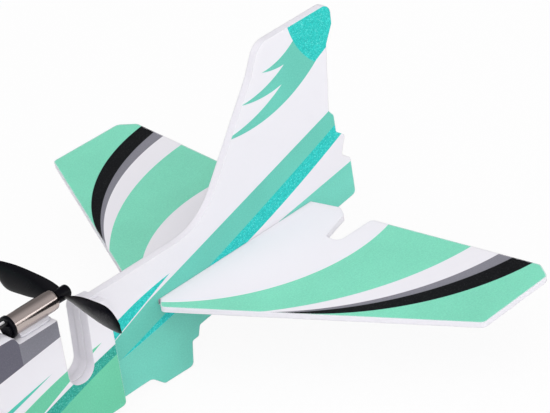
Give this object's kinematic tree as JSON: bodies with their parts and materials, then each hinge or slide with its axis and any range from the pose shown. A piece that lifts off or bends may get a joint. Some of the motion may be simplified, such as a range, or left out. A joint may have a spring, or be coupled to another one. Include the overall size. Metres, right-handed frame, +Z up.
{
  "type": "foam glider with pusher propeller",
  "caption": "Hand-launched printed foam-sheet glider with a coreless pusher motor on its spine, a propeller in a fuselage slot and a power box in the nose.",
  "frame": {"origin": "on the flat belly of the fuselage, in its centre plane, below the balance point of the wing", "axes": "+X towards the nose, +Y towards the left wing tip, +Z up"},
  "size_m": [0.3509, 0.3988, 0.0971],
  "materials": {
    "printed_foam": "matt expanded foam, printed in white, mint, teal, grey and black",
    "bumper_foam": "soft matt foam rubber",
    "can_steel": "drawn and plated, satin",
    "shaft_steel": "ground",
    "slug_steel": "bare",
    "bush_brass": "turned",
    "coil_copper": "varnished copper wire",
    "magnet_nickel": "plated",
    "black_plastic": "moulded, semi gloss",
    "white_plastic": "moulded, satin",
    "carbon_rod": "pultruded fibre, satin",
    "clear_glue": "cured, milky",
    "white_insulation": "smooth",
    "black_insulation": "smooth",
    "red_insulation": "smooth",
    "battery_foil": "laminated foil pouch",
    "board_green": "solder mask",
    "switch_metal": "plated sheet",
    "knob_plastic": "moulded",
    "socket_plastic": "moulded",
    "lamp_lens": "diffused",
    "screw_steel": "zinc plated"
  },
  "bodies": {
    "airframe": {"fuselage_core": "printed_foam", "left_fuselage_side": "printed_foam", "right_fuselage_side": "printed_foam", "nose_bumper": "bumper_foam", "nose_slug": "slug_steel", "tailplane": "printed_foam", "left_wing": "printed_foam", "right_wing": "printed_foam", "wing_joiner": "white_plastic", "left_wing_spar": "carbon_rod", "right_wing_spar": "carbon_rod", "motor_can": "can_steel", "motor_end_cap": "black_plastic", "motor_brushes": "bush_brass", "motor_bushes": "bush_brass", "motor_magnet": "magnet_nickel", "motor_glue_bed": "clear_glue", "motor_lead_white": "white_insulation", "motor_lead_black": "black_insulation", "power_case": "white_plastic", "power_case_lid": "white_plastic", "case_screw": "screw_steel", "battery": "battery_foil", "battery_lead_red": "red_insulation", "battery_lead_black": "black_insulation", "circuit_board": "board_green", "power_switch_body": "switch_metal", "charging_socket": "socket_plastic", "status_led": "lamp_lens"},
    "rotor": {"motor_coil": "coil_copper", "commutator": "bush_brass", "motor_shaft": "shaft_steel", "propeller": "black_plastic"},
    "switch_knob": {"power_switch_slider": "knob_plastic"}
  },
  "joints": [
    {"name": "propeller_spin", "type": "hinge", "parent": "airframe", "child": "rotor", "pos_m": [-0.1063, 0, 0.0476], "axis": [1, 0, 0], "continuous": true},
    {"name": "power_switch_slide", "type": "slide", "parent": "airframe", "child": "switch_knob", "axis": [1, 0, 0], "range_m": [0, 0.002]}
  ]
}
